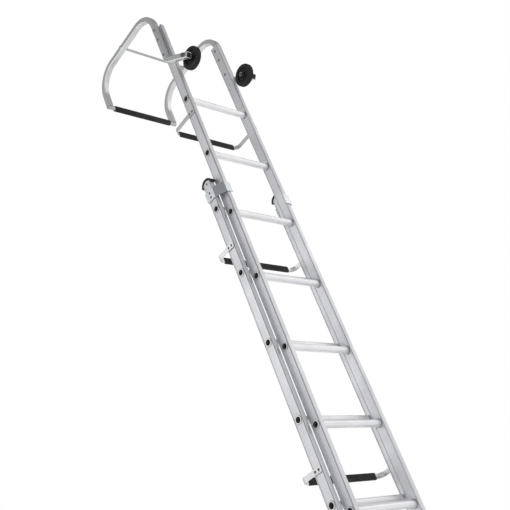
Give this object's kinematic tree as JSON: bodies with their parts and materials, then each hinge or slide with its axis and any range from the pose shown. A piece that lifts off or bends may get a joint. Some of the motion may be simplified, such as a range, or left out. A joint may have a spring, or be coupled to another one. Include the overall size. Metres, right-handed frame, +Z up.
{
  "type": "roof ladder",
  "caption": "Two-section sliding roof ladder with a square-tube ridge hook, transport wheels, rung jaws, guide brackets and sleeved roof pads.",
  "frame": {"origin": "where the ridge bears: the middle of the hook's throat, at the underside of its top tubes", "axes": "+X across the ladder to its right as the climber sees it, +Y towards the roof, +Z up along the stiles"},
  "size_m": [0.38, 0.557, 3.4495],
  "materials": {
    "stile_aluminium": "mill, drawn lengthwise",
    "rung_aluminium": "mill, fluted",
    "tube_aluminium": "mill, drawn lengthwise",
    "strip_aluminium": "mill",
    "rivet_aluminium": "mill",
    "zinc_steel": "zinc plated",
    "black_plastic": "moulded, fine grain",
    "black_rubber": "matt",
    "tyre_rubber": "matt"
  },
  "bodies": {
    "base": {"base_stile_left": "stile_aluminium", "base_stile_right": "stile_aluminium", "base_rung_1": "rung_aluminium", "base_rung_2": "rung_aluminium", "base_rung_3": "rung_aluminium", "base_rung_4": "rung_aluminium", "base_rung_5": "rung_aluminium", "base_rung_6": "rung_aluminium", "base_rung_7": "rung_aluminium", "base_rung_8": "rung_aluminium", "base_rung_9": "rung_aluminium", "base_top_cap_left": "black_plastic", "base_top_cap_right": "black_plastic", "cap_rivets": "rivet_aluminium", "base_foot_left": "black_rubber", "base_foot_right": "black_rubber", "guide_bracket_left": "zinc_steel", "guide_bracket_right": "zinc_steel", "guide_rivets": "rivet_aluminium", "base_pad_bar_upper": "strip_aluminium", "base_pad_bar_lower": "strip_aluminium", "base_pad_sleeve_upper": "black_rubber", "base_pad_sleeve_lower": "black_rubber", "base_pad_rivets": "rivet_aluminium"},
    "fly": {"fly_stile_left": "stile_aluminium", "fly_stile_right": "stile_aluminium", "fly_rung_1": "rung_aluminium", "fly_rung_2": "rung_aluminium", "fly_rung_3": "rung_aluminium", "fly_rung_4": "rung_aluminium", "fly_rung_5": "rung_aluminium", "fly_rung_6": "rung_aluminium", "fly_rung_7": "rung_aluminium", "fly_rung_8": "rung_aluminium", "fly_rung_9": "rung_aluminium", "fly_rung_10": "rung_aluminium", "hook_tube_left": "tube_aluminium", "hook_tube_right": "tube_aluminium", "hook_foot_bar": "tube_aluminium", "hook_tie": "tube_aluminium", "fly_pad_bar": "strip_aluminium", "fly_pad_rivets": "rivet_aluminium", "hook_rivets": "rivet_aluminium", "jaw_rivets": "rivet_aluminium", "rung_jaw_left": "zinc_steel", "rung_jaw_right": "zinc_steel", "hook_tie_bolts": "zinc_steel", "axle_bolts": "zinc_steel", "axle_nuts": "zinc_steel", "fly_end_cap_left": "black_plastic", "fly_end_cap_right": "black_plastic", "arm_plugs": "black_plastic", "axle_spacers": "black_plastic", "fly_pad_sleeve": "black_rubber", "hook_foot_sleeve": "black_rubber"},
    "wheel_left": {"wheel_hub_left": "black_plastic", "wheel_tyre_left": "tyre_rubber"},
    "wheel_right": {"wheel_hub_right": "black_plastic", "wheel_tyre_right": "tyre_rubber"}
  },
  "joints": [
    {"name": "fly_slide", "type": "slide", "parent": "base", "child": "fly", "axis": [0, 0, 1], "range_m": [0, 1.68]},
    {"name": "wheel_left_spin", "type": "hinge", "parent": "fly", "child": "wheel_left", "pos_m": [-0.1355, -0.2945, -0.3525], "axis": [1, 0, 0], "continuous": true},
    {"name": "wheel_right_spin", "type": "hinge", "parent": "fly", "child": "wheel_right", "pos_m": [0.1355, -0.2945, -0.3525], "axis": [1, 0, 0], "continuous": true}
  ]
}
